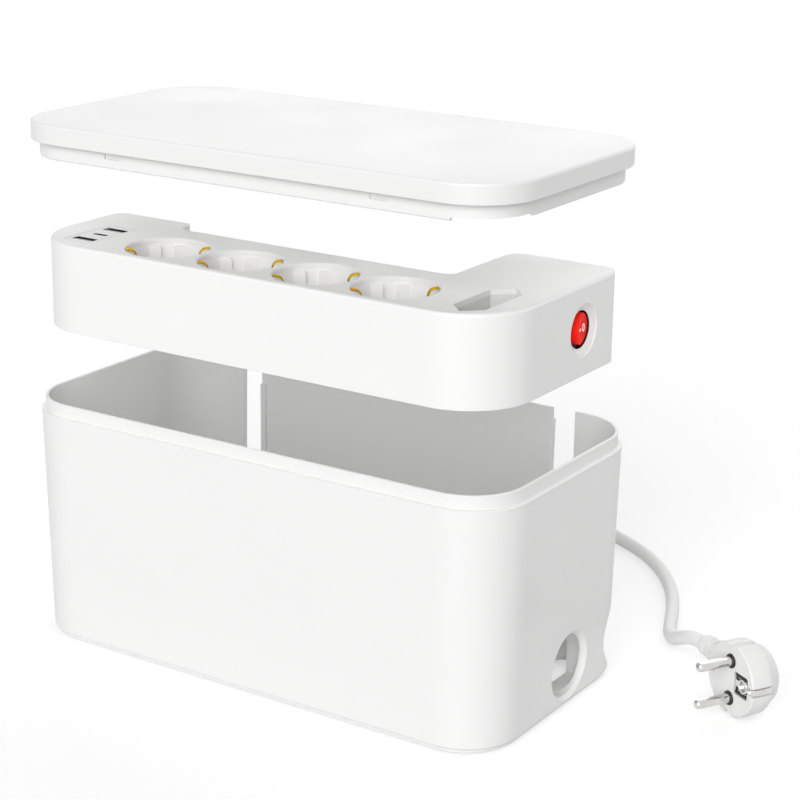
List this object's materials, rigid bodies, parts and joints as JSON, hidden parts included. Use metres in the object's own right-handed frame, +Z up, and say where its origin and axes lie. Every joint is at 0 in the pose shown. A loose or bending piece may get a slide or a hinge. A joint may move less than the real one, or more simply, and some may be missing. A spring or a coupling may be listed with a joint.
{
  "type": "cable management box",
  "caption": "Open white tub with cable holes, a lowering power strip with sockets, USB ports and rocker switch, a lift-off lid and a coiled supply lead with plug.",
  "frame": {"origin": "middle of the footprint, at the level of the feet", "axes": "+X to the end with the switch, along the length; -Y to the front, where the sockets are; +Z up"},
  "size_m": [0.3626, 0.2915, 0.264],
  "materials": {
    "white_plastic": "satin moulded, white",
    "white_insert": "satin moulded, white",
    "white_cord": "smooth PVC jacket, white",
    "foot_rubber": "matt pads, light grey",
    "black_plastic": "matt, black",
    "pin_metal": "nickel-plated, bright",
    "earth_brass": "bright drawn strip",
    "contact_brass": "plain strip",
    "port_steel": "bright drawn shell",
    "board_green": "printed board",
    "supply_parts": "wound and moulded parts",
    "rocker_red": "clear red, polished",
    "screw_steel": "plated",
    "terminal_plastic": "moulded block"
  },
  "bodies": {
    "tub_body": {"tub": "white_plastic", "feet": "foot_rubber", "cord_bushing": "white_cord", "supply_cord_in": "white_cord", "cord_coil": "white_cord", "coil_tie": "black_plastic", "supply_cord_out": "white_cord", "plug_body": "white_plastic", "plug_pins": "pin_metal", "plug_pin_sleeves": "black_plastic", "plug_earth_clips": "pin_metal", "plug_earth_socket": "black_plastic", "plug_boot": "white_cord"},
    "strip_body": {"strip_cover": "white_plastic", "strip_base": "white_plastic", "base_screws": "screw_steel", "socket_well_1": "white_insert", "socket_well_2": "white_insert", "socket_well_3": "white_insert", "socket_well_4": "white_insert", "earth_clips_1": "earth_brass", "earth_clips_2": "earth_brass", "earth_clips_3": "earth_brass", "earth_clips_4": "earth_brass", "earth_bar": "earth_brass", "live_bar": "contact_brass", "neutral_bar": "contact_brass", "euro_well": "white_insert", "euro_contacts": "contact_brass", "usb_panel": "white_insert", "usb_a_port_1": "port_steel", "usb_a_port_2": "port_steel", "usb_c_port": "port_steel", "usb_board": "board_green", "usb_supply": "supply_parts", "switch_body": "white_insert", "switch_terminals": "contact_brass", "cord_gland": "white_cord", "terminal_block": "terminal_plastic"},
    "rocker_body": {"rocker": "rocker_red"},
    "lid_body": {"lid_cover": "white_plastic", "lid_frame": "white_plastic"}
  },
  "joints": [
    {"name": "strip_lift", "type": "slide", "parent": "tub_body", "child": "strip_body", "axis": [0, 0, 1], "range_m": [-0.096, 0]},
    {"name": "lid_lift", "type": "slide", "parent": "strip_body", "child": "lid_body", "axis": [0, 0, 1], "range_m": [-0.0391, 0]},
    {"name": "rocker_tilt", "type": "hinge", "parent": "strip_body", "child": "rocker_body", "pos_m": [0.1284, 0.0137, 0.1842], "axis": [0, 0, 1], "range_deg": [-24, 0]}
  ]
}
